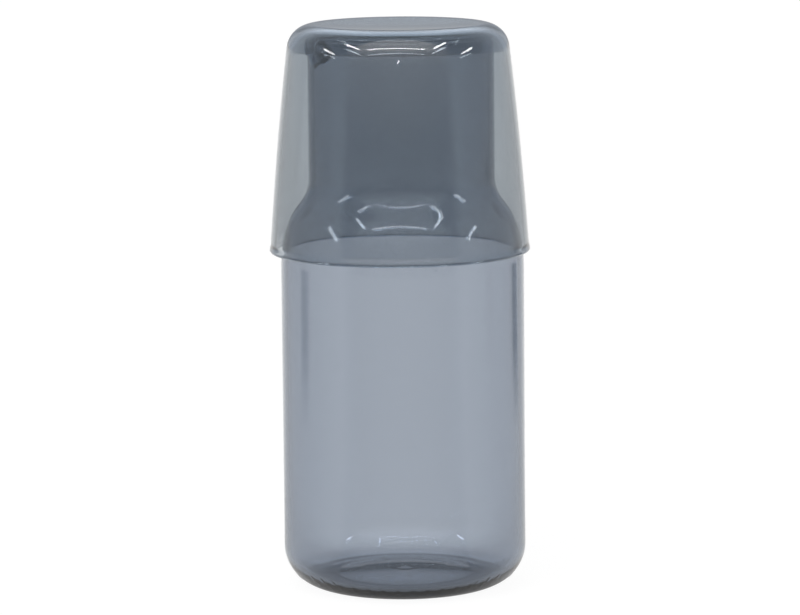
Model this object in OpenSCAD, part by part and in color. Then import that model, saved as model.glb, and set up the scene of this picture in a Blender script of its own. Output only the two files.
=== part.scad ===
// Bedside carafe with its tumbler, two pieces of smoke-grey glass, each in one piece.
// The tumbler is upside down over the neck: the inside of its base rests on the carafe's lip,
// and its rim hangs around the shoulder without touching it. Both bases are about as thick as
// the walls, and both are pushed in at the middle.
// Millimetres, +Z up. The carafe's axis is Z, and it stands on z = 0.

/* [Carafe] */
// Outside diameter of the body
body_d = 86; // [80:0.5:100]
// Height from the table to the top of the lip
carafe_h = 196.9; // [192:0.1:230]
// Height at which the body starts to draw in
shoulder_z = 114; // [95:1:119]
// Radius of the long curve with which the shoulder starts
shoulder_r = 50; // [40:1:60]
// How far the wall leans in at the end of that curve, in degrees
shoulder_lean = 17; // [8:1:20]
// Radius of the tighter curve that follows it
brow_r = 21.5; // [15:0.5:28]
// Length of the straight slope between the outward curves and the inward one
slope_l = 2; // [0.5:0.5:4]
// Radius of the inward curve that runs into the neck
cove_r = 14; // [8:0.5:18]
// Outside diameter of the neck
neck_d = 65.7; // [60:0.1:66]
// Thickness of the wall of the body and neck
carafe_wall = 2.2; // [1.6:0.1:3]
// Outside rounding from the body into the foot
heel_r = 14.5; // [10:0.5:16]
// Inside rounding from the wall into the floor
inner_heel_r = 10.5; // [8:0.5:12]
// Thickness of the glass over the foot ring
floor_t = 3.5; // [2.5:0.5:5]
// Thickness of the glass in the middle of the base
middle_t = 2.5; // [2:0.5:5]
// Radius of the middle of the base, which is pushed up off the table
punt_r = 24.5; // [18:0.5:25]
// Height to which the outside of the middle is pushed up
punt_rise = 3; // [2:0.5:7]

/* [Tumbler] */
// Gap between the tumbler's rim and the body when the two are centred
rim_gap = 1.05; // [1:0.05:3]
// How far the loose tumbler sits off the carafe's axis, along X
tumbler_shift = -0.9; // [-0.9:0.1:0.9]
// Height of the tumbler
tumbler_h = 80.5; // [76:0.5:86]
// Thickness of the tumbler's wall
tumbler_wall = 1.8; // [1.4:0.1:2.1]
// Thickness of the tumbler's base at its foot ring
tumbler_floor_t = 2; // [1.8:0.1:3.5]
// Thickness of the tumbler's base in the middle
tumbler_middle_t = 2.5; // [1.8:0.1:3.5]
// Radius of the flat ring that the tumbler stands on when it is the right way up
tumbler_foot_r = 30; // [29.5:0.5:31]
// Outside rounding from the tumbler's base into its wall
corner_r = 9.3; // [8.5:0.1:10]
// Inside rounding from the tumbler's floor into its wall
inner_corner_r = 8.6; // [6:0.1:9.5]
// Radius of the long outward bow of the tumbler's wall
bow_r = 1450; // [900:10:3000]
// Depth of the hollow in the middle of the tumbler's base
dish_depth = 0.8; // [0.4:0.1:3]
// Radius of that hollow
dish_r = 24; // [17:0.5:26]
// How far the rim turns out from the wall
flare = 0.3; // [0:0.05:0.6]

/* [Hidden] */
$fn = 180;
GLASS = [0.42, 0.45, 0.50, 0.55];

body_r = body_d / 2;
neck_r = neck_d / 2;
foot_r = body_r - heel_r;

// The shoulder's curves and its slope run into each other, and into the body and the neck, without a break.
// turn is the slope's lean from the upright, which brings the last curve to the neck.
shoulder_mid = [body_r - shoulder_r, shoulder_z];
brow_mid = on_circle(shoulder_mid, shoulder_r - brow_r, shoulder_lean);
brow_to_cove = [brow_r + cove_r, slope_l];
turn = acos((neck_r + cove_r - brow_mid[0]) / norm(brow_to_cove)) - atan2(slope_l, brow_r + cove_r);
neck_z = brow_mid[1] + (brow_r + cove_r) * sin(turn) + slope_l * cos(turn);
cove_mid = [neck_r + cove_r, neck_z];

// The tumbler is drawn down from its own foot ring, which is at 0.
// Its wall's long bow is tangent to the corner's rounding and runs through the rim.
rim_z = -tumbler_h;
rim_out_r = body_r + rim_gap + tumbler_wall;
corner_mid = [tumbler_foot_r, -corner_r];
bow_mid = crossing(corner_mid, bow_r - corner_r, [rim_out_r, rim_z], bow_r);
bow_in_r = bow_r - tumbler_wall;
inner_corner_mid = at_level(bow_mid, bow_in_r - inner_corner_r, -tumbler_floor_t - inner_corner_r);
bead_r = (tumbler_wall + flare) / 2;
bead_mid = at_level(bow_mid, bow_r + flare - bead_r, rim_z + bead_r);
flare_h = 2.2;
flare_start = at_level(bow_mid, bow_r, rim_z + bead_r + flare_h);

// It comes down until its inside is a hair's breadth off the lip's rounding, which it meets
// under the inside corner, on the side to which the tumbler isn't shifted.
seat_gap = 0.1;
lip_r = carafe_wall / 2;
lip_past_corner = max(0, neck_r - lip_r + abs(tumbler_shift) - inner_corner_mid[0]);
lip_rise = sqrt(pow(inner_corner_r - lip_r, 2) - pow(lip_past_corner, 2));
tumbler_top = carafe_h - lip_r + seat_gap - inner_corner_mid[1] - lip_rise;

function on_circle(mid, r, angle) = [mid[0] + r * cos(angle), mid[1] + r * sin(angle)];

function arc(mid, r, from, to, steps) =
    [for (i = [0:steps]) on_circle(mid, r, from + (to - from) * i / steps)];

// Where two circles cross, the crossing further to the left
function crossing(a, ra, b, rb) =
    let (
        gap = norm(b - a),
        way = (b - a) / gap,
        along = (ra * ra - rb * rb + gap * gap) / (2 * gap),
        aside = sqrt(ra * ra - along * along),
        foot = a + along * way,
        one = foot + aside * [-way[1], way[0]],
        other = foot - aside * [-way[1], way[0]]
    )
    one[0] < other[0] ? one : other;

// The point at which a circle reaches a height, on its outer side
function at_level(mid, r, z) = [mid[0] + sqrt(r * r - (z - mid[1]) * (z - mid[1])), z];

// The angle at which a point stands from a centre
function bearing(mid, p) = atan2(p[1] - mid[1], p[0] - mid[0]);

// A shallow cap through the axis: from its middle at height z out to radius r, lower or higher by rise
function cap(r, z, rise, steps) =
    let (ball = (r * r + rise * rise) / (2 * abs(rise)), sense = sign(rise))
    [for (i = [0:steps]) let (x = r * i / steps) [x, z - sense * (ball - sqrt(ball * ball - x * x))]];

function reversed(list) = [for (i = [len(list) - 1:-1:0]) list[i]];

function without_first(list) = [for (i = [1:len(list) - 1]) list[i]];

// From 0 to 1, slow at both ends
function eased(u) = (1 - cos(180 * u)) / 2;

module carafe() {
    inner_heel_mid = [body_r - carafe_wall - inner_heel_r, floor_t + inner_heel_r];
    outside = concat(
        cap(punt_r, punt_rise, punt_rise, 12),
        arc([foot_r, heel_r], heel_r, -90, 0, 20),
        arc(shoulder_mid, shoulder_r, 0, shoulder_lean, 8),
        without_first(arc(brow_mid, brow_r, shoulder_lean, turn, 8)),
        arc(cove_mid, cove_r, 180 + turn, 180, 10)
    );
    lip = arc([neck_r - lip_r, carafe_h - lip_r], lip_r, 0, 180, 12);
    inside = concat(
        arc(cove_mid, cove_r + carafe_wall, 180, 180 + turn, 10),
        arc(brow_mid, brow_r - carafe_wall, turn, shoulder_lean, 8),
        without_first(arc(shoulder_mid, shoulder_r - carafe_wall, shoulder_lean, 0, 8)),
        arc(inner_heel_mid, inner_heel_r, 0, -90, 16),
        reversed(cap(punt_r, punt_rise + middle_t, punt_rise + middle_t - floor_t, 12))
    );
    color(GLASS) rotate_extrude() polygon(concat(outside, lip, inside));
}

module tumbler() {
    corner_end = bearing(bow_mid, corner_mid);
    flare_top = bearing(bow_mid, flare_start);
    wall_end = bearing(bow_mid, bead_mid);
    inner_corner_end = bearing(bow_mid, inner_corner_mid);
    flare_steps = 8;
    bulge = dish_depth + tumbler_middle_t - tumbler_floor_t;
    outside = concat(
        cap(dish_r, -dish_depth, -dish_depth, 12),
        arc(corner_mid, corner_r, 90, corner_end, 14),
        without_first(arc(bow_mid, bow_r, corner_end, flare_top, 16)),
        [for (i = [1:flare_steps]) let (u = i / flare_steps)
            on_circle(bow_mid, bow_r + flare * eased(u), flare_top + (wall_end - flare_top) * u)]
    );
    rim = without_first(arc(bead_mid, bead_r, wall_end, wall_end - 180, 12));
    inside = concat(
        without_first(arc(bow_mid, bow_in_r, wall_end, inner_corner_end, 16)),
        without_first(arc(inner_corner_mid, inner_corner_r, inner_corner_end, 90, 8)),
        without_first(reversed(cap(inner_corner_mid[0], -dish_depth - tumbler_middle_t, -bulge, 12)))
    );
    color(GLASS)
        translate([tumbler_shift, 0, tumbler_top])
            rotate_extrude() polygon(concat(outside, rim, inside));
}

carafe();
tumbler();
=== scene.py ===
"""Looks of a smoke-grey glass carafe that stands under its own upturned tumbler.

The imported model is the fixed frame. Each of its two nodes is replaced by one closed piece of turned
glass with the same profile and place, which adds what the plain solid leaves out: the crisp edge and
the mark of the pushed-up base, the stippled ring that it stands on, the short ribs round its heel, a
sag of glass under the lip, and a hollow in the tumbler's base that runs out to its foot ring without
a step. Sizes are in metres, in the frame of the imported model.
"""

import logging
import math
from collections.abc import Callable, Sequence
from dataclasses import dataclass
from enum import Enum

import bmesh
import bpy
from mathutils import Matrix, Vector


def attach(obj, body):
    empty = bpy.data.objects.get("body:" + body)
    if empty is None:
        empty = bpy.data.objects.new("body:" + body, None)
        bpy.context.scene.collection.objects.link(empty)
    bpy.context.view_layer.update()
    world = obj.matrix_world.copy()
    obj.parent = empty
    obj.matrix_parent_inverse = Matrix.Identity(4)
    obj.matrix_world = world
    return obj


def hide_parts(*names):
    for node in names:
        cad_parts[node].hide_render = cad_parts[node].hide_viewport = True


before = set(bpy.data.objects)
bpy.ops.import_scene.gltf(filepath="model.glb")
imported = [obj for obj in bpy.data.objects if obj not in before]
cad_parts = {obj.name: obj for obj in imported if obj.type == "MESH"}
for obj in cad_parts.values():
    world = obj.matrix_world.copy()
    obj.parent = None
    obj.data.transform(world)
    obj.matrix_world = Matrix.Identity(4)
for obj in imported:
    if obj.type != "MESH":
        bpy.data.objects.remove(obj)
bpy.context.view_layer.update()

MM = 0.001
JOIN_DISTANCE = 1e-6
ON_CURVE = 0.01 * MM
ON_TABLE = 0.001 * MM
WHITE = (1.0, 1.0, 1.0, 1.0)
SEED_GREY = (0.55, 0.57, 0.6, 1.0)
FLOOR_PAINT = (0.95, 0.95, 0.95, 1.0)
THROUGH_GLASS = 24
OFF_GLOSS = 8
NODE_STEP = 200
LOW_CORNER, HIGH_CORNER = 0, 6

Levels = tuple[tuple[float, float], ...]

log = logging.getLogger("carafe_set")


class Body(Enum):
    """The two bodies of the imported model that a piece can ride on."""

    CARAFE = "carafe"
    TUMBLER = "tumbler"


class Shine(Enum):
    """What a lamp shines on."""

    GLOSS = "gloss"
    MATT = "matt"


class Pen:
    """Draws half of a round piece's outline in the XZ plane, as one chain of edges, and turns it."""

    def __init__(self, name: str, r: float, z: float) -> None:
        """Sets the pen down.

        Args:
            name: What the finished piece is called.
            r: Distance of the first point from the axis.
            z: Height of the first point.
        """
        if bpy.context.mode != "OBJECT":
            bpy.ops.object.mode_set(mode="OBJECT")
        bpy.ops.object.select_all(action="DESELECT")
        bpy.ops.mesh.primitive_plane_add(size=1 * MM, location=(r, 0.0, z))
        self.piece = bpy.context.active_object
        self.piece.name = name
        self.piece.data.name = name
        bpy.ops.object.transform_apply(location=True, rotation=True, scale=True)
        bpy.ops.object.mode_set(mode="EDIT")
        bpy.ops.mesh.select_mode(type="VERT")
        bpy.ops.mesh.select_all(action="SELECT")
        bpy.ops.mesh.merge(type="CENTER")
        self.r = r
        self.z = z

    def line(self, r: float, z: float, steps: int = 1) -> None:
        """Draws a straight stretch.

        Args:
            r: Distance of its end from the axis.
            z: Height of its end.
            steps: Number of edges that it is made of.
        """
        step = ((r - self.r) / steps, 0.0, (z - self.z) / steps)
        for _ in range(steps):
            bpy.ops.mesh.extrude_region_move(TRANSFORM_OT_translate={"value": step})
        self.r = r
        self.z = z

    def arc(self, mid: tuple[float, float], degrees: float, steps: int) -> None:
        """Draws a round stretch from where the pen stands.

        Args:
            mid: Distance from the axis and height of the arc's centre.
            degrees: How far to go round it, positive from the axis's right side upwards.
            steps: Number of edges that it is made of.
        """
        turn = math.radians(degrees)
        bpy.ops.mesh.spin(steps=steps, angle=turn, center=(mid[0], 0.0, mid[1]), axis=(0.0, 1.0, 0.0))
        from_mid = Vector((self.r - mid[0], self.z - mid[1]))
        self.r = mid[0] + from_mid.x * math.cos(turn) - from_mid.y * math.sin(turn)
        self.z = mid[1] + from_mid.x * math.sin(turn) + from_mid.y * math.cos(turn)

    def turned(self, segments: int, off_axis: float = 0.0) -> bpy.types.Object:
        """Spins the drawn outline once round, and closes it.

        Args:
            segments: Number of faces round the piece.
            off_axis: How far along X the finished piece stands off the frame's axis.

        Returns:
            The closed piece, in edit mode, with its faces pointing out of the glass.
        """
        bpy.ops.mesh.select_all(action="SELECT")
        bpy.ops.mesh.spin(steps=segments, angle=math.tau, center=(0.0, 0.0, 0.0), axis=(0.0, 0.0, 1.0))
        bpy.ops.mesh.select_all(action="SELECT")
        bpy.ops.mesh.remove_doubles(threshold=JOIN_DISTANCE)
        bpy.ops.mesh.normals_make_consistent(inside=False)
        bpy.ops.transform.translate(value=(off_axis, 0.0, 0.0))
        return self.piece


def select_vertices(piece: bpy.types.Object, wanted: Callable[[Vector], bool]) -> int:
    """Selects the vertices of the piece in edit mode that pass a test of their place.

    Args:
        piece: The piece that is being shaped.
        wanted: Says of a place whether its vertex is selected.

    Returns:
        How many were selected.
    """
    shape = bmesh.from_edit_mesh(piece.data)
    bpy.ops.mesh.select_all(action="DESELECT")
    found = [v for v in shape.verts if wanted(v.co)]
    for v in found:
        v.select = True
    shape.select_flush(True)
    bmesh.update_edit_mesh(piece.data)
    return len(found)


def finish_shape(piece: bpy.types.Object) -> bpy.types.Object:
    """Leaves edit mode and shades the piece smooth.

    Args:
        piece: The piece that is in edit mode.

    Returns:
        The same piece.
    """
    bpy.ops.object.mode_set(mode="OBJECT")
    bpy.ops.object.shade_smooth()
    return piece


class Nodes:
    """Places nodes in one node tree and joins them, from left to right."""

    def __init__(self, tree: bpy.types.NodeTree) -> None:
        """Takes the tree to build in, and empties it.

        Args:
            tree: The node tree of a material, a world or a group.
        """
        self.tree = tree
        self.tree.nodes.clear()
        self.count = 0

    def add(self, kind: str, inputs: dict | None = None, **settings: object) -> bpy.types.Node:
        """Adds a node.

        Args:
            kind: Its type.
            inputs: By name or number of a socket, the value that it holds or the output that feeds it.
            settings: Its own properties.

        Returns:
            The new node.
        """
        node = self.tree.nodes.new(kind)
        node.location = (NODE_STEP * self.count, 0)
        self.count += 1
        for name, value in settings.items():
            setattr(node, name, value)
        for name, value in (inputs or {}).items():
            if isinstance(value, bpy.types.NodeSocket):
                self.tree.links.new(value, node.inputs[name])
            else:
                node.inputs[name].default_value = value
        return node

    def math(self, operation: str, first: object, second: object = 0.0) -> bpy.types.NodeSocket:
        """Adds a Math node.

        Args:
            operation: What it does.
            first: A number or an output.
            second: A number or an output.

        Returns:
            Its result.
        """
        return self.add("ShaderNodeMath", {0: first, 1: second}, operation=operation).outputs[0]

    def ramp(
        self, value: bpy.types.NodeSocket, low: tuple[float, float], high: tuple[float, float]
    ) -> bpy.types.NodeSocket:
        """Adds a straight change from one level to another, which holds beyond both ends.

        Args:
            value: What it follows.
            low: The lower value and its level.
            high: The higher value and its level.

        Returns:
            The level.
        """
        ends = {"From Min": low[0], "From Max": high[0], "To Min": low[1], "To Max": high[1]}
        return self.add("ShaderNodeMapRange", {"Value": value, **ends}).outputs[0]

    def curve(
        self, value: bpy.types.NodeSocket, points: Sequence[tuple[float, float]]
    ) -> bpy.types.NodeSocket:
        """Adds a change through several levels, straight from each point to the next.

        Args:
            value: What it follows.
            points: Values in rising order, each with its level.

        Returns:
            The level.
        """
        level = self.ramp(value, points[0], points[1])
        for here, there in zip(points[1:], points[2:]):
            level = self.math("ADD", level, self.ramp(value, (here[0], 0.0), (there[0], there[1] - here[1])))
        return level

    def mixed(self, share: object, first: object, second: object) -> bpy.types.NodeSocket:
        """Adds a mix of two numbers.

        Args:
            share: How much of the second goes in.
            first: A number or an output.
            second: A number or an output.

        Returns:
            The mix.
        """
        return self.add("ShaderNodeMix", {"Factor": share, "A": first, "B": second}).outputs[0]

    def mixed_colour(self, share: object, first: object, second: object) -> bpy.types.NodeSocket:
        """Adds a mix of two colours.

        Args:
            share: How much of the second goes in.
            first: A colour or an output.
            second: A colour or an output.

        Returns:
            The mix.
        """
        mix = self.add("ShaderNodeMix", {"Factor": share, "A": first, "B": second}, data_type="RGBA")
        return next(output for output in mix.outputs if output.type == "RGBA")


def new_group(name: str, inputs: dict[str, float], output: str) -> tuple[bpy.types.NodeTree, Nodes]:
    """Starts a shader node group with number inputs and one number output.

    Args:
        name: What the group is called.
        inputs: The name of each input and its default.
        output: The name of the output.

    Returns:
        The group and the builder of its nodes.
    """
    group = bpy.data.node_groups.new(name, "ShaderNodeTree")
    for socket, value in inputs.items():
        made = group.interface.new_socket(name=socket, in_out="INPUT", socket_type="NodeSocketFloat")
        made.default_value = value
    group.interface.new_socket(name=output, in_out="OUTPUT", socket_type="NodeSocketFloat")
    return group, Nodes(group)


def melt_ripple_group() -> bpy.types.NodeTree:
    """Builds the effect of glass that cooled a little unevenly: long faint swells, as a height.

    Returns:
        The group.
    """
    group, nodes = new_group("melt_ripple", {"Swells": 60.0, "Stretch": 0.2}, "Height")
    given = nodes.add("NodeGroupInput").outputs
    place = nodes.add("ShaderNodeTexCoord").outputs["Object"]
    size = nodes.add("ShaderNodeCombineXYZ", {"X": 1.0, "Y": 1.0, "Z": given["Stretch"]})
    drawn_out = nodes.add("ShaderNodeVectorMath", {0: place, 1: size.outputs[0]}, operation="MULTIPLY")
    swell = nodes.add(
        "ShaderNodeTexNoise",
        {"Vector": drawn_out.outputs[0], "Scale": given["Swells"], "Detail": 1.0, "Roughness": 0.4},
    )
    nodes.add("NodeGroupOutput", {"Height": swell.outputs["Fac"]})
    return group


def seed_group() -> bpy.types.NodeTree:
    """Builds the effect of seeds, the pin-point bubbles that are left in pressed glass, as a mask.

    Returns:
        The group.
    """
    group, nodes = new_group("glass_seeds", {"Spread": 90.0, "Size": 0.03, "Share": 0.1}, "Mask")
    given = nodes.add("NodeGroupInput").outputs
    place = nodes.add("ShaderNodeTexCoord").outputs["Object"]
    cells = nodes.add("ShaderNodeTexVoronoi", {"Vector": place, "Scale": given["Spread"]})
    lot = nodes.add("ShaderNodeSeparateColor", {"Color": cells.outputs["Color"]}).outputs["Red"]
    chosen = nodes.math("LESS_THAN", lot, given["Share"])
    near = nodes.math("LESS_THAN", cells.outputs["Distance"], given["Size"])
    nodes.add("NodeGroupOutput", {"Mask": nodes.math("MULTIPLY", chosen, near)})
    return group


def film_group() -> bpy.types.NodeTree:
    """Builds the effect of handling: a film too thin to see that dulls the polish in patches.

    Returns:
        The group.
    """
    group, nodes = new_group("handling_film", {"Patches": 25.0, "Dullness": 0.02}, "Roughness")
    given = nodes.add("NodeGroupInput").outputs
    place = nodes.add("ShaderNodeTexCoord").outputs["Object"]
    patch = nodes.add("ShaderNodeTexNoise", {"Vector": place, "Scale": given["Patches"], "Detail": 3.0})
    above = nodes.math("MAXIMUM", nodes.math("SUBTRACT", patch.outputs["Fac"], 0.5), 0.0)
    nodes.add("NodeGroupOutput", {"Roughness": nodes.math("MULTIPLY", above, given["Dullness"])})
    return group


@dataclass(frozen=True)
class SmokeGlass:
    """Clear glass, tinted smoke-grey all through, fire-polished outside.

    Attributes:
        name: What the material is called.
        tint: The colour that the absorption tends to.
        depth: How strongly the glass absorbs, per metre.
        ripple: Height of its faint swells.
        seeds: Share of the glass's cells that hold a seed.
        refraction: How strongly it bends light.
    """

    name: str
    tint: tuple[float, float, float] = (0.274, 0.35, 0.453)
    depth: float = 340.0
    ripple: float = 0.02 * MM
    seeds: float = 0.1
    refraction: float = 1.5

    def made(self, groups: dict[str, bpy.types.NodeTree]) -> bpy.types.Material:
        """Builds the material.

        Args:
            groups: The shared effects, by name.

        Returns:
            The material.
        """
        material = bpy.data.materials.new(self.name)
        material.use_nodes = True
        nodes = Nodes(material.node_tree)
        ripple = nodes.add("ShaderNodeGroup", node_tree=groups["melt_ripple"])
        seeds = nodes.add("ShaderNodeGroup", {"Share": self.seeds}, node_tree=groups["glass_seeds"])
        film = nodes.add("ShaderNodeGroup", node_tree=groups["handling_film"])
        bump = nodes.add("ShaderNodeBump", {"Height": ripple.outputs[0], "Distance": self.ripple})
        colour = nodes.mixed_colour(seeds.outputs[0], WHITE, SEED_GREY)
        surface = nodes.add(
            "ShaderNodeBsdfPrincipled",
            {
                "Base Color": colour,
                "Roughness": film.outputs[0],
                "Normal": bump.outputs[0],
                "Metallic": 0.0,
                "Transmission Weight": 1.0,
                "IOR": self.refraction,
            },
        )
        inside = nodes.add("ShaderNodeVolumeAbsorption", {"Color": (*self.tint, 1.0), "Density": self.depth})
        nodes.add("ShaderNodeOutputMaterial", {"Surface": surface.outputs[0], "Volume": inside.outputs[0]})
        return material


@dataclass(frozen=True)
class SagDrop:
    """One drop of glass that sagged under the lip before it set.

    Attributes:
        azimuth: Where it is round the neck, in degrees from the front.
        rise: How far over the middle of the knot.
        outwards: How far it stands out of the neck.
        inwards: How far it stands into the neck.
    """

    azimuth: float
    rise: float
    outwards: float
    inwards: float


@dataclass
class Carafe:
    """The straight-sided carafe, from the mark in its base to its lip.

    Attributes:
        body_r: Radius of the body.
        height: From the table to the top of the lip.
        neck_r: Radius of the neck.
        wall: Thickness of the wall.
        heel_r: Outside rounding from the body into the foot.
        inner_heel_r: Inside rounding from the wall into the floor.
        floor: Thickness of the glass over the ring that it stands on.
        middle: Thickness in the middle of the base, which is pushed up.
        punt_r: Radius of that middle.
        punt_rise: Height to which its underside is pushed up.
        punt_edge: Width of the step at its edge.
        mark_r: Radius of the round mark in its centre.
        mark_flat: Radius of the flat middle of the mark.
        mark_depth: Depth of the mark.
        shoulder_z: Height at which the body starts to draw in.
        shoulder_r: Radius of the long curve with which it does.
        shoulder_lean: Lean of the wall at the end of that curve, in degrees.
        brow_r: Radius of the tighter curve that follows.
        slope: Length of the straight slope under the cove.
        cove_r: Radius of the inward curve that runs into the neck.
        ribs: Number of short ribs round the heel.
        columns_per_rib: Number of faces round the piece from one rib to the next.
        rib_height: How far a rib stands out.
        rib_from: Where a rib starts on the heel's curve, in degrees below its upper end.
        rib_to: Where it ends.
        pit_rows: Rows of points across the foot ring, some of which are pressed in.
        pit_spacing: Number of columns from one pit to the next in a row.
        pit_depth: Depth of a pit in the foot ring.
        sag_z: Height of the knot of sagged glass under the lip.
        sag_core: Radius of the middle of a drop, which is pulled as one.
        sag_reach: How far the pull of one drop reaches.
        sag_drops: The drops that make the knot.
        lip_zone: Height of the finely divided stretch that holds the knot.
    """

    body_r: float = 43.0 * MM
    height: float = 196.9 * MM
    neck_r: float = 32.85 * MM
    wall: float = 2.2 * MM
    heel_r: float = 14.5 * MM
    inner_heel_r: float = 10.5 * MM
    floor: float = 3.5 * MM
    middle: float = 2.5 * MM
    punt_r: float = 24.5 * MM
    punt_rise: float = 3.0 * MM
    punt_edge: float = 0.3 * MM
    mark_r: float = 3.5 * MM
    mark_flat: float = 1.75 * MM
    mark_depth: float = 0.6 * MM
    shoulder_z: float = 114.0 * MM
    shoulder_r: float = 50.0 * MM
    shoulder_lean: float = 17.0
    brow_r: float = 21.5 * MM
    slope: float = 2.0 * MM
    cove_r: float = 14.0 * MM
    ribs: int = 46
    columns_per_rib: int = 8
    rib_height: float = 0.14 * MM
    rib_from: float = 41.0
    rib_to: float = 49.0
    pit_rows: int = 8
    pit_spacing: int = 4
    pit_depth: float = 0.15 * MM
    sag_z: float = 192.0 * MM
    sag_core: float = 0.6 * MM
    sag_reach: float = 3.1 * MM
    sag_drops: tuple[SagDrop, ...] = (
        SagDrop(azimuth=-80.0, rise=0.6 * MM, outwards=1.2 * MM, inwards=3.2 * MM),
        SagDrop(azimuth=-68.0, rise=-2.2 * MM, outwards=1.0 * MM, inwards=4.6 * MM),
        SagDrop(azimuth=-58.0, rise=-0.2 * MM, outwards=0.8 * MM, inwards=3.4 * MM),
    )
    lip_zone: float = 12.0 * MM

    def build(self, glass: bpy.types.Material) -> bpy.types.Object:
        """Models the carafe and dresses it.

        Args:
            glass: Its material.

        Returns:
            The finished piece.
        """
        piece = self.outline().turned(self.ribs * self.columns_per_rib)
        self.raise_ribs(piece)
        self.press_stipple(piece)
        self.sag_lip(piece)
        finish_shape(piece)
        piece.data.materials.append(glass)
        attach(piece, Body.CARAFE.value)
        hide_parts("carafe")
        return piece

    def outline(self) -> Pen:
        """Draws the half outline, from the axis under the base to the axis over the floor.

        Returns:
            The pen that drew it.
        """
        pen = Pen("carafe_vessel", 0.0, self.punt_rise - self.mark_depth)
        pen.line(self.mark_flat, self.punt_rise - self.mark_depth, steps=3)
        pen.line(self.mark_r, self.punt_rise, steps=3)
        ball = (self.punt_r**2 + self.punt_rise**2) / (2 * self.punt_rise)
        start = math.degrees(math.asin(self.mark_r / ball))
        end = math.degrees(math.asin(self.punt_r / ball))
        top = self.punt_rise - ball
        pen.line(ball * math.sin(math.radians(start)), top + ball * math.cos(math.radians(start)))
        pen.arc((0.0, top), -(end - start), steps=14)
        pen.line(pen.r + self.punt_edge, 0.0)
        heel_start = self.body_r - self.heel_r
        pen.line(heel_start, 0.0, steps=8)
        pen.arc((heel_start, self.heel_r), 90.0, steps=28)
        pen.line(self.body_r, self.shoulder_z, steps=2)
        turn, brow, cove = self.shoulder()
        pen.arc((self.body_r - self.shoulder_r, self.shoulder_z), self.shoulder_lean, steps=16)
        pen.arc(brow, turn - self.shoulder_lean, steps=16)
        pen.line(
            cove[0] - self.cove_r * math.cos(math.radians(turn)),
            cove[1] - self.cove_r * math.sin(math.radians(turn)),
        )
        pen.arc(cove, -turn, steps=20)
        lip_r = self.wall / 2
        pen.line(self.neck_r, self.height - self.lip_zone, steps=2)
        pen.line(self.neck_r, self.height - lip_r, steps=20)
        pen.arc((self.neck_r - lip_r, self.height - lip_r), 180.0, steps=14)
        pen.line(self.neck_r - self.wall, self.height - self.lip_zone, steps=20)
        pen.line(self.neck_r - self.wall, cove[1], steps=2)
        pen.arc(cove, turn, steps=20)
        brow_in = self.brow_r - self.wall
        pen.line(
            brow[0] + brow_in * math.cos(math.radians(turn)),
            brow[1] + brow_in * math.sin(math.radians(turn)),
        )
        pen.arc(brow, self.shoulder_lean - turn, steps=16)
        pen.arc((self.body_r - self.shoulder_r, self.shoulder_z), -self.shoulder_lean, steps=16)
        inner_heel = (self.body_r - self.wall - self.inner_heel_r, self.floor + self.inner_heel_r)
        pen.line(self.body_r - self.wall, inner_heel[1], steps=2)
        pen.arc(inner_heel, -90.0, steps=22)
        pen.line(self.punt_r, self.floor, steps=2)
        rise = self.punt_rise + self.middle - self.floor
        floor_ball = (self.punt_r**2 + rise**2) / (2 * rise)
        lean = math.degrees(math.asin(self.punt_r / floor_ball))
        pen.arc((0.0, self.floor + rise - floor_ball), lean, steps=18)
        return pen

    def shoulder(self) -> tuple[float, tuple[float, float], tuple[float, float]]:
        """Works out the shoulder's curves, which run into each other without a break.

        Returns:
            The steepest lean in degrees, the centre of the tighter outward curve and that of the cove.
        """
        lean = math.radians(self.shoulder_lean)
        reach = self.shoulder_r - self.brow_r
        brow = (
            self.body_r - self.shoulder_r + reach * math.cos(lean),
            self.shoulder_z + reach * math.sin(lean),
        )
        both = self.brow_r + self.cove_r
        across = self.neck_r + self.cove_r - brow[0]
        turn = math.acos(across / math.hypot(both, self.slope)) - math.atan2(self.slope, both)
        neck_z = brow[1] + both * math.sin(turn) + self.slope * math.cos(turn)
        return math.degrees(turn), brow, (self.neck_r + self.cove_r, neck_z)

    def column_of(self, place: Vector) -> int:
        """Gives the number, counted round the piece, of the column that a place is in."""
        return round(math.atan2(place.y, place.x) * self.ribs * self.columns_per_rib / math.tau)

    def raise_ribs(self, piece: bpy.types.Object) -> None:
        """Raises the short ribs round the heel, one in each group of columns.

        Args:
            piece: The turned carafe, in edit mode.
        """
        mid = Vector((self.body_r - self.heel_r, self.heel_r))

        def on_rib(place: Vector) -> bool:
            """Says whether a place is on the outside of the heel and in the column of a rib.

            Args:
                place: Where the vertex is.

            Returns:
                Whether it is on a rib.
            """
            from_mid = Vector((math.hypot(place.x, place.y) - mid.x, place.z - mid.y))
            if abs(from_mid.length - self.heel_r) > ON_CURVE or from_mid.x <= 0:
                return False
            below = math.degrees(math.atan2(-from_mid.y, from_mid.x))
            return self.rib_from <= below <= self.rib_to and self.column_of(place) % self.columns_per_rib == 0

        found = select_vertices(piece, on_rib)
        bpy.ops.transform.shrink_fatten(value=self.rib_height)
        log.info("ribs raised on %d points", found)

    def press_stipple(self, piece: bpy.types.Object) -> None:
        """Presses small pits into the ring that the carafe stands on.

        Args:
            piece: The turned carafe, in edit mode.
        """
        outer_r = self.body_r - self.heel_r
        row = (outer_r - self.punt_r) / self.pit_rows

        def in_pit(place: Vector) -> bool:
            """Says whether a place is on the foot ring and is one of its pits, which lie in quincunx.

            Args:
                place: Where the vertex is.

            Returns:
                Whether it is in a pit.
            """
            r = math.hypot(place.x, place.y)
            if abs(place.z) > ON_TABLE or not self.punt_r + row / 2 < r < outer_r:
                return False
            shift = self.pit_spacing // 2 * round(r / row)
            return (self.column_of(place) + shift) % self.pit_spacing == 0

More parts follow.
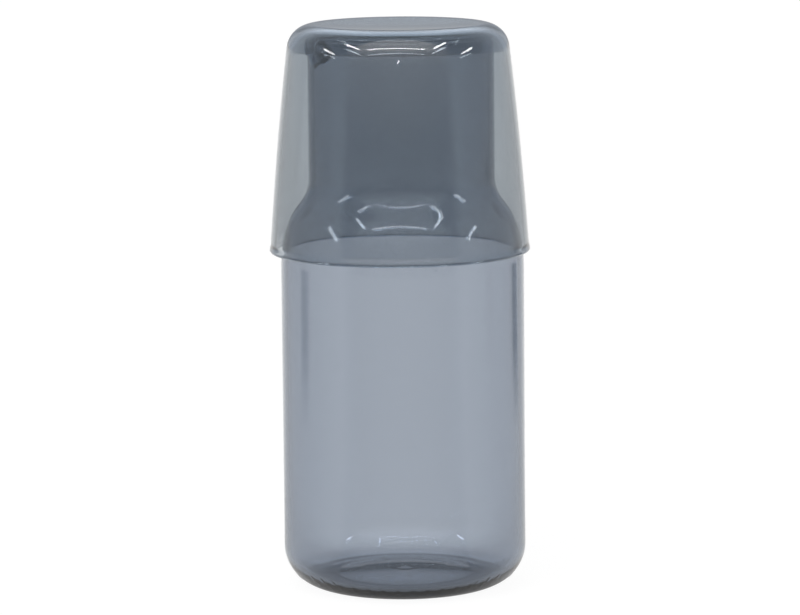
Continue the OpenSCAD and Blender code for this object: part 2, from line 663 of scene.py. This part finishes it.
        found = select_vertices(piece, in_pit)
        bpy.ops.transform.translate(value=(0.0, 0.0, self.pit_depth))
        log.info("stipple pressed on %d points", found)

    def sag_lip(self, piece: bpy.types.Object) -> None:
        """Pulls the knot of sagged glass out of the wall under the lip, drop by drop, to both sides.

        Args:
            piece: The turned carafe, in edit mode.
        """
        for drop in self.sag_drops:
            away = math.radians(drop.azimuth)
            out = Vector((math.sin(away), -math.cos(away), 0.0))
            for r, pull in ((self.neck_r, drop.outwards), (self.neck_r - self.wall, -drop.inwards)):
                middle = out * r + Vector((0.0, 0.0, self.sag_z + drop.rise))
                select_vertices(piece, lambda place, middle=middle: (place - middle).length < self.sag_core)
                bpy.ops.transform.translate(
                    value=tuple(out * pull),
                    use_proportional_edit=True,
                    use_proportional_connected=True,
                    proportional_edit_falloff="SPHERE",
                    proportional_size=self.sag_reach,
                )


@dataclass
class Tumbler:
    """The tumbler, upside down over the neck.

    Attributes:
        top: Height of its foot ring, which is its upper end here.
        height: From its rim to its foot ring.
        off_axis: How far it stands off the carafe's axis, along X.
        wall: Thickness of its wall.
        base: Thickness of its base at the foot ring.
        middle: Thickness of its base in the middle.
        rim_r: Radius of its outside where the wall would end without the flare.
        foot_r: Radius at which the foot ring ends and the corner's rounding starts.
        dish_r: Radius of the hollow in its base.
        dish: Depth of that hollow.
        dish_rings: Number of rings of faces in it.
        corner_r: Outside rounding from the base into the wall.
        inner_corner_r: Inside rounding from the base into the wall.
        bow_r: Radius of the long outward bow of the wall.
        flare: How far the rim turns out from the wall.
        flare_h: Height of the stretch in which it does.
        flare_steps: Number of rings of faces in that stretch.
        segments: Number of faces round the piece.
    """

    top: float = 199.924 * MM
    height: float = 80.5 * MM
    off_axis: float = -0.9 * MM
    wall: float = 1.8 * MM
    base: float = 2.0 * MM
    middle: float = 2.7 * MM
    rim_r: float = 45.85 * MM
    foot_r: float = 30.0 * MM
    dish_r: float = 29.5 * MM
    dish: float = 0.6 * MM
    dish_rings: int = 24
    corner_r: float = 9.3 * MM
    inner_corner_r: float = 8.6 * MM
    bow_r: float = 1450.0 * MM
    flare: float = 0.3 * MM
    flare_h: float = 2.2 * MM
    flare_steps: int = 12
    segments: int = 360

    def build(self, glass: bpy.types.Material) -> bpy.types.Object:
        """Models the tumbler and dresses it.

        Args:
            glass: Its material.

        Returns:
            The finished piece.
        """
        piece = self.outline().turned(self.segments, self.off_axis)
        finish_shape(piece)
        piece.data.materials.append(glass)
        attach(piece, Body.TUMBLER.value)
        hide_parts("tumbler")
        return piece

    def outline(self) -> Pen:
        """Draws the half outline, from the axis over the base to the axis under it.

        Returns:
            The pen that drew it.
        """
        top = self.top
        rim_z = top - self.height
        corner = Vector((self.foot_r, top - self.corner_r))
        bow = self.bow_mid(corner, Vector((self.rim_r, rim_z)))
        bead_r = (self.wall + self.flare) / 2
        bead_z = rim_z + bead_r
        bead = Vector((self.reach_at(bow, self.bow_r + self.flare - bead_r, bead_z), bead_z))
        flare_z = bead_z + self.flare_h
        flare_top = self.bearing(bow, Vector((self.reach_at(bow, self.bow_r, flare_z), flare_z)))
        corner_end = self.bearing(bow, corner)
        wall_end = self.bearing(bow, bead)

        pen = Pen("tumbler_vessel", 0.0, top - self.dish)
        for i in range(1, self.dish_rings + 1):
            share = i / self.dish_rings
            pen.line(self.dish_r * share, top - self.dish * (1 - share**2))
        pen.line(self.foot_r, top)
        pen.arc(tuple(corner), corner_end - 90.0, steps=24)
        pen.arc(tuple(bow), flare_top - corner_end, steps=24)
        for i in range(1, self.flare_steps + 1):
            share = i / self.flare_steps
            angle = math.radians(flare_top + (wall_end - flare_top) * share)
            r = self.bow_r + self.flare * (1 - math.cos(math.pi * share)) / 2
            pen.line(bow.x + r * math.cos(angle), bow.y + r * math.sin(angle))
        pen.arc(tuple(bead), -180.0, steps=20)
        inner_r = self.bow_r - self.wall - self.inner_corner_r
        inner_z = top - self.base - self.inner_corner_r
        inner_corner = Vector((self.reach_at(bow, inner_r, inner_z), inner_z))
        inner_end = self.bearing(bow, inner_corner)
        pen.arc(tuple(bow), inner_end - wall_end, steps=30)
        pen.arc(tuple(inner_corner), 90.0 - inner_end, steps=20)
        bulge = self.dish + self.middle - self.base
        ball = (inner_corner.x**2 + bulge**2) / (2 * bulge)
        lean = math.degrees(math.asin(inner_corner.x / ball))
        pen.arc((0.0, top - self.base - bulge + ball), -lean, steps=20)
        return pen

    def bow_mid(self, corner: Vector, rim: Vector) -> Vector:
        """Finds the centre of the wall's bow, which touches the corner's rounding and meets the rim.

        Args:
            corner: Centre of the corner's rounding.
            rim: Where the wall ends.

        Returns:
            The centre, far off on the axis's side.
        """
        to_corner = self.bow_r - self.corner_r
        way = rim - corner
        gap = way.length
        along = (to_corner**2 - self.bow_r**2 + gap**2) / (2 * gap)
        aside = math.sqrt(to_corner**2 - along**2)
        way.normalize()
        foot = corner + way * along
        sides = (foot + Vector((-way.y, way.x)) * s * aside for s in (1, -1))
        return min(sides, key=lambda place: place.x)

    @staticmethod
    def reach_at(mid: Vector, radius: float, z: float) -> float:
        """Gives the distance from the axis at which a circle reaches a height."""
        return mid.x + math.sqrt(radius**2 - (z - mid.y) ** 2)

    @staticmethod
    def bearing(mid: Vector, place: Vector) -> float:
        """Gives the angle, in degrees, at which a place stands from a centre."""
        return math.degrees(math.atan2(place.y - mid.y, place.x - mid.x))


@dataclass(frozen=True)
class StripLight:
    """A lamp with a straight face, such as one side of a light box's frame.

    Attributes:
        name: What it is called.
        start: Middle of one end of its face.
        end: Middle of the other end.
        width: Width of its face.
        brightness: How bright its face is, where 1 is white.
        shine: What it shines on.
    """

    name: str
    start: tuple[float, float, float]
    end: tuple[float, float, float]
    width: float
    brightness: float
    shine: Shine = Shine.GLOSS

    def place(self, target: Vector) -> None:
        """Adds the lamp, with its face turned to the target.

        Args:
            target: The place that it is turned to.
        """
        start, end = Vector(self.start), Vector(self.end)
        along = (end - start).normalized()
        middle = (start + end) / 2
        from_target = middle - target
        away = (from_target - along * from_target.dot(along)).normalized()
        lamp = bpy.data.lights.new(self.name, "AREA")
        lamp.shape = "RECTANGLE"
        lamp.size = (end - start).length
        lamp.size_y = self.width
        lamp.energy = self.brightness * math.pi * lamp.size * lamp.size_y
        holder = bpy.data.objects.new(self.name, lamp)
        turned = Matrix((along, away.cross(along), away)).transposed()
        holder.matrix_world = Matrix.Translation(middle) @ turned.to_4x4()
        holder.visible_camera = False
        holder.visible_diffuse = self.shine is Shine.MATT
        holder.visible_glossy = holder.visible_transmission = self.shine is Shine.GLOSS
        bpy.context.scene.collection.objects.link(holder)


class Bearing:
    """The bearing of a place or direction, seen from the object, for levels that change with it.

    How far it points to the back is given as a share: 1 is right behind, and -1 is the camera's side.
    """

    def __init__(self, nodes: Nodes, place: bpy.types.NodeSocket) -> None:
        """Takes the bearing out of the place.

        Args:
            nodes: The nodes of the floor or the world.
            place: The place or direction.
        """
        self.nodes = nodes
        flat = nodes.add("ShaderNodeVectorMath", {0: place, 1: (1.0, 1.0, 0.0)}, operation="MULTIPLY")
        self.way = nodes.add("ShaderNodeVectorMath", {0: flat.outputs[0]}, operation="NORMALIZE").outputs[0]
        self.back = nodes.add("ShaderNodeSeparateXYZ", {0: self.way}).outputs["Y"]

    def by_back(self, ends: tuple[float, float], levels: tuple[float, float]) -> bpy.types.NodeSocket:
        """Adds a level that changes with how far the bearing points to the back.

        Args:
            ends: The shares between which it changes.
            levels: The level up to the first of them and that from the second on.

        Returns:
            The level.
        """
        return self.nodes.ramp(self.back, (ends[0], levels[0]), (ends[1], levels[1]))

    def near(
        self, ways: Sequence[tuple[float, float, float]], ends: tuple[float, float]
    ) -> bpy.types.NodeSocket | float:
        """Adds a mask of the bearings that are close to any of some directions.

        Args:
            ways: The directions, level and one long.
            ends: Cosines of the angles at which the mask is 0 and 1.

        Returns:
            The mask.
        """
        mask = 0.0
        for way in ways:
            cosine = self.nodes.add("ShaderNodeVectorMath", {0: self.way, 1: way}, operation="DOT_PRODUCT")
            close = self.nodes.ramp(cosine.outputs["Value"], (ends[0], 0.0), (ends[1], 1.0))
            mask = self.nodes.math("MAXIMUM", mask, close)
        return mask


@dataclass
class Studio:
    """The pale floor, the white surroundings, the lamps and the camera.

    What the glass shows of the floor and the surroundings is shaped apart from what the camera sees of
    them, which is white, and from what lights the matt, which is plain.

    Attributes:
        floor_half: Half the width of the floor.
        floor_front: How far the floor reaches to the camera's side.
        floor_drop: How far the floor lies under the foot, so that the two never share a plane.
        camera_distance: How far in front of the frame's axis the camera stands.
        camera_height: Its height.
        camera_tilt: How far it looks down, in radians.
        camera_turn: How far it is turned round the upright, in radians.
        camera_roll: How far it is turned round its own line of sight, in radians.
        camera_near: Distance from which on it sees.
        lens_mm: Its focal length, in millimetres.
        sensor_mm: Width of its sensor, in millimetres.
        glow: Share of the floor's white that is its own, so that it is white where it is seen.
        white: Strength of that share for the camera, which makes the whole just white.
        behind_level: How bright the surroundings right behind look in the glass.
        around_level: How bright they look in it from there round to the sides.
        front_floor_level: How bright the floor on the camera's side looks in it.
        front_ends: Shares of the bearing from which and up to which the camera's side fades out.
        around_ends: The same for the change from the level around to the level behind.
        behind_ends: The same for the change from the side sky to the back sky.
        near_floor: Distances between which the floor before the foot takes on its own level.
        painted_foot_shadow: Painted shadow round the foot in the floor's glow: the share of the floor's level
            that is left at a distance from the middle of the foot.
        back_sky: Share of the surroundings' level, by the sine of the height above the horizon.
        side_sky: The same to the sides.
        front_sky: Level of the room on the camera's side, by the same sine.
        painted_dark_streaks: Directions of two dark bands painted into the floor's glow, which the glass
            shows as painted dark reflections, upright streaks.
        dark_streak_ends: Cosines of the angles from a band's middle at which it starts and is full.
        dark_streak_reach: How dark the painted bands are at a distance from the middle of the foot.
        sky_tint: Colour of the surroundings behind and to the sides, seen in the glass.
        horizon: Sines of the heights between which that colour sets in.
        plain_level: How brightly the surroundings light what is matt.
        lamp_target: The place that the lamps are turned to.
        lamps: The light box's strips, the small lamp over the camera and the soft one for the matt.
    """

    floor_half: float = 6.0
    floor_front: float = 1.4
    floor_drop: float = 0.05 * MM
    camera_distance: float = 1.5
    camera_height: float = 0.3198
    camera_tilt: float = 0.1461
    camera_turn: float = 0.0007
    camera_roll: float = -0.0091
    camera_near: float = 0.05
    lens_mm: float = 192.56
    sensor_mm: float = 36.0
    glow: float = 0.9
    white: float = 1.05
    behind_level: float = 1.1
    around_level: float = 0.86
    front_floor_level: float = 0.4
    front_ends: tuple[float, float] = (-0.66, -0.54)
    around_ends: tuple[float, float] = (0.82, 0.95)
    behind_ends: tuple[float, float] = (0.92, 0.975)
    near_floor: tuple[float, float] = (0.05, 0.12)
    painted_foot_shadow: Levels = (
        (0.029, 0.4),
        (0.033, 0.5),
        (0.0355, 0.5),
        (0.039, 0.8),
        (0.055, 1.0),
    )
    back_sky: Levels = (
        (-0.03, 0.47),
        (0.26, 0.43),
        (0.5, 1.5),
        (0.77, 1.5),
        (0.93, 0.4),
        (1.0, 0.5),
    )
    side_sky: Levels = ((0.02, 1.0), (0.5, 1.1), (0.8, 0.9), (1.0, 0.5))
    front_sky: Levels = (
        (0.08, 0.22),
        (0.16, 0.9),
        (0.4, 1.7),
        (0.55, 2.8),
        (0.97, 2.8),
        (1.0, 0.8),
    )
    painted_dark_streaks: tuple[tuple[float, float, float], ...] = ((-0.970, 0.242, 0.0), (0.777, 0.629, 0.0))
    dark_streak_ends: tuple[float, float] = (0.992, 0.998)
    dark_streak_reach: Levels = ((0.35, 0.0), (0.6, 1.0), (1.2, 1.0), (1.6, 0.0))
    sky_tint: tuple[float, float, float, float] = (0.9, 0.97, 1.07, 1.0)
    horizon: tuple[float, float] = (-0.02, 0.035)
    plain_level: float = 0.65
    lamp_target: tuple[float, float, float] = (0.0, 0.0, 0.15)
    lamps: tuple[StripLight, ...] = (
        StripLight("strip_front_left", (-0.143, -0.22, 0.34), (-0.06, -0.20, 0.34), 0.013, 26.0),
        StripLight("strip_front", (-0.06, -0.20, 0.34), (0.034, -0.20, 0.34), 0.013, 26.0),
        StripLight("strip_front_right", (0.034, -0.20, 0.34), (0.117, -0.22, 0.34), 0.013, 26.0),
        StripLight("strip_left", (-0.171, -0.19, 0.34), (-0.147, -0.07, 0.34), 0.013, 26.0),
        StripLight("strip_right", (0.145, -0.19, 0.34), (0.121, -0.07, 0.34), 0.013, 26.0),
        StripLight("strip_outer_left", (-0.345, -0.155, 0.245), (-0.345, -0.04, 0.33), 0.022, 20.0),
        StripLight("strip_outer_right", (0.345, -0.155, 0.245), (0.345, -0.04, 0.33), 0.022, 20.0),
        StripLight("lamp_over_camera", (-0.005, -0.5, 0.26), (0.005, -0.5, 0.26), 0.006, 40.0),
        StripLight("soft_lamp", (-0.8, -0.6, 1.1), (0.0, -0.9, 1.1), 0.8, 2.4, Shine.MATT),
    )

    def build(self) -> None:
        """Builds all of it."""
        self.place_camera()
        self.lay_floor()
        self.surround()
        self.light()

    def place_camera(self) -> None:
        """Places the camera where the photograph was taken from."""
        lens = bpy.data.cameras.new("camera")
        lens.lens = self.lens_mm
        lens.sensor_width = self.sensor_mm
        lens.clip_start = self.camera_near
        holder = bpy.data.objects.new("camera", lens)
        turned = (
            Matrix.Rotation(self.camera_turn, 4, "Z")
            @ Matrix.Rotation(math.pi / 2 - self.camera_tilt, 4, "X")
            @ Matrix.Rotation(self.camera_roll, 4, "Z")
        )
        holder.matrix_world = Matrix.Translation((0.0, -self.camera_distance, self.camera_height)) @ turned
        bpy.context.scene.collection.objects.link(holder)
        bpy.context.scene.camera = holder

    def lay_floor(self) -> None:
        """Lays the plain pale floor."""
        bpy.ops.object.select_all(action="DESELECT")
        depth = self.floor_half + self.floor_front
        bpy.ops.mesh.primitive_plane_add(
            size=1.0, location=(0.0, (self.floor_half - self.floor_front) / 2, -self.floor_drop)
        )
        floor = bpy.context.active_object
        floor.name = "floor"
        floor.scale = (2 * self.floor_half, depth, 1.0)
        bpy.ops.object.transform_apply(location=True, rotation=True, scale=True)
        paint = bpy.data.materials.new("floor_paint")
        paint.use_nodes = True
        self.paint_floor(Nodes(paint.node_tree))
        floor.data.materials.append(paint)

    def paint_floor(self, nodes: Nodes) -> None:
        """Makes the floor matt, with a glow that only the camera, gloss and the glass see.

        Args:
            nodes: The nodes of its material.
        """
        place = nodes.add("ShaderNodeTexCoord").outputs["Object"]
        bearing = Bearing(nodes, place)
        from_foot = nodes.add("ShaderNodeVectorMath", {0: place}, operation="LENGTH").outputs["Value"]
        near_end, far_end = self.near_floor
        before = nodes.ramp(from_foot, (near_end, self.around_level), (far_end, self.front_floor_level))
        open_floor = nodes.mixed(self.front(bearing), self.around(bearing), before)
        # Two dark bands painted into the glow: painted dark reflections that the glass shows as upright
        # streaks.
        reach = nodes.curve(from_foot, self.dark_streak_reach)
        gap = nodes.math("MULTIPLY", bearing.near(self.painted_dark_streaks, self.dark_streak_ends), reach)
        lit = nodes.math("MULTIPLY", open_floor, nodes.math("SUBTRACT", 1.0, gap))
        # Painted shadow: the glow that the glass and gloss see is darkened under and round the foot.
        level = nodes.math("MULTIPLY", lit, nodes.curve(from_foot, self.painted_foot_shadow))
        camera = nodes.add("ShaderNodeLightPath").outputs["Is Camera Ray"]
        strength = nodes.mixed(camera, level, self.white)
        glow = nodes.add("ShaderNodeEmission", {"Color": WHITE, "Strength": strength})
        matt = nodes.add("ShaderNodeBsdfDiffuse", {"Color": FLOOR_PAINT})
        share = nodes.math("MULTIPLY", self.seen_rays(nodes), self.glow)
        mix = nodes.add("ShaderNodeMixShader", {0: share, 1: matt.outputs[0], 2: glow.outputs[0]})
        nodes.add("ShaderNodeOutputMaterial", {"Surface": mix.outputs[0]})

    @staticmethod
    def seen_rays(nodes: Nodes) -> bpy.types.NodeSocket:
        """Adds what is 1 for rays from the camera, from gloss and through glass, and else 0.

        Args:
            nodes: The nodes of the floor or the world.

        Returns:
            That share.
        """
        path = nodes.add("ShaderNodeLightPath").outputs
        some = nodes.math("ADD", path["Is Camera Ray"], path["Is Glossy Ray"])
        return nodes.math("MINIMUM", nodes.math("ADD", some, path["Is Transmission Ray"]), 1.0)

    def front(self, bearing: Bearing) -> bpy.types.NodeSocket:
        """Adds what is 1 on the camera's side, and else 0."""
        return bearing.by_back(self.front_ends, (1.0, 0.0))

    def around(self, bearing: Bearing) -> bpy.types.NodeSocket:
        """Adds the level from right behind round to the sides."""
        return bearing.by_back(self.around_ends, (self.around_level, self.behind_level))

    def surround(self) -> None:
        """Makes the surroundings white to the camera, shaped for gloss and glass, and plain for the matt."""
        world = bpy.data.worlds.new("surroundings")
        world.use_nodes = True
        bpy.context.scene.world = world
        nodes = Nodes(world.node_tree)
        place = nodes.add("ShaderNodeTexCoord").outputs["Generated"]
        bearing = Bearing(nodes, place)
        front = self.front(bearing)
        behind = bearing.by_back(self.behind_ends, (0.0, 1.0))
        up = nodes.add("ShaderNodeSeparateXYZ", {0: place}).outputs["Z"]
        sky = nodes.mixed(behind, nodes.curve(up, self.side_sky), nodes.curve(up, self.back_sky))
        beyond = nodes.math("MULTIPLY", self.around(bearing), sky)
        level = nodes.mixed(front, beyond, nodes.curve(up, self.front_sky))
        camera = nodes.add("ShaderNodeLightPath").outputs["Is Camera Ray"]
        seen = self.seen_rays(nodes)
        strength = nodes.mixed(seen, self.plain_level, nodes.math("MAXIMUM", camera, level))
        low = nodes.ramp(up, (self.horizon[0], 1.0), (self.horizon[1], 0.0))
        plain = nodes.math("SUBTRACT", 1.0, seen)
        for share in (camera, front, low):
            plain = nodes.math("MAXIMUM", plain, share)
        colour = nodes.mixed_colour(plain, self.sky_tint, WHITE)
        white = nodes.add("ShaderNodeBackground", {"Color": colour, "Strength": strength})
        nodes.add("ShaderNodeOutputWorld", {"Surface": white.outputs[0]})

    def light(self) -> None:
        """Hangs the lamps."""
        for lamp in self.lamps:
            lamp.place(Vector(self.lamp_target))


def main() -> None:
    """Builds the studio and both pieces, and reports each."""
    logging.basicConfig(level=logging.INFO, format="%(name)s: %(message)s")
    bpy.context.scene.view_settings.view_transform = "Standard"
    bpy.context.scene.cycles.max_bounces = THROUGH_GLASS
    bpy.context.scene.cycles.transmission_bounces = THROUGH_GLASS
    bpy.context.scene.cycles.glossy_bounces = OFF_GLOSS
    groups = {"melt_ripple": melt_ripple_group(), "glass_seeds": seed_group(), "handling_film": film_group()}
    Studio().build()
    pieces = [
        Carafe().build(SmokeGlass("carafe_glass").made(groups)),
        Tumbler().build(SmokeGlass("tumbler_glass", tint=(0.263, 0.332, 0.385), depth=405.0).made(groups)),
    ]
    for piece in pieces:
        low, high = (Vector(piece.bound_box[corner]) / MM for corner in (LOW_CORNER, HIGH_CORNER))
        log.info("%s: %d faces, %s to %s mm", piece.name, len(piece.data.polygons), low, high)


if __name__ == "__main__":
    main()
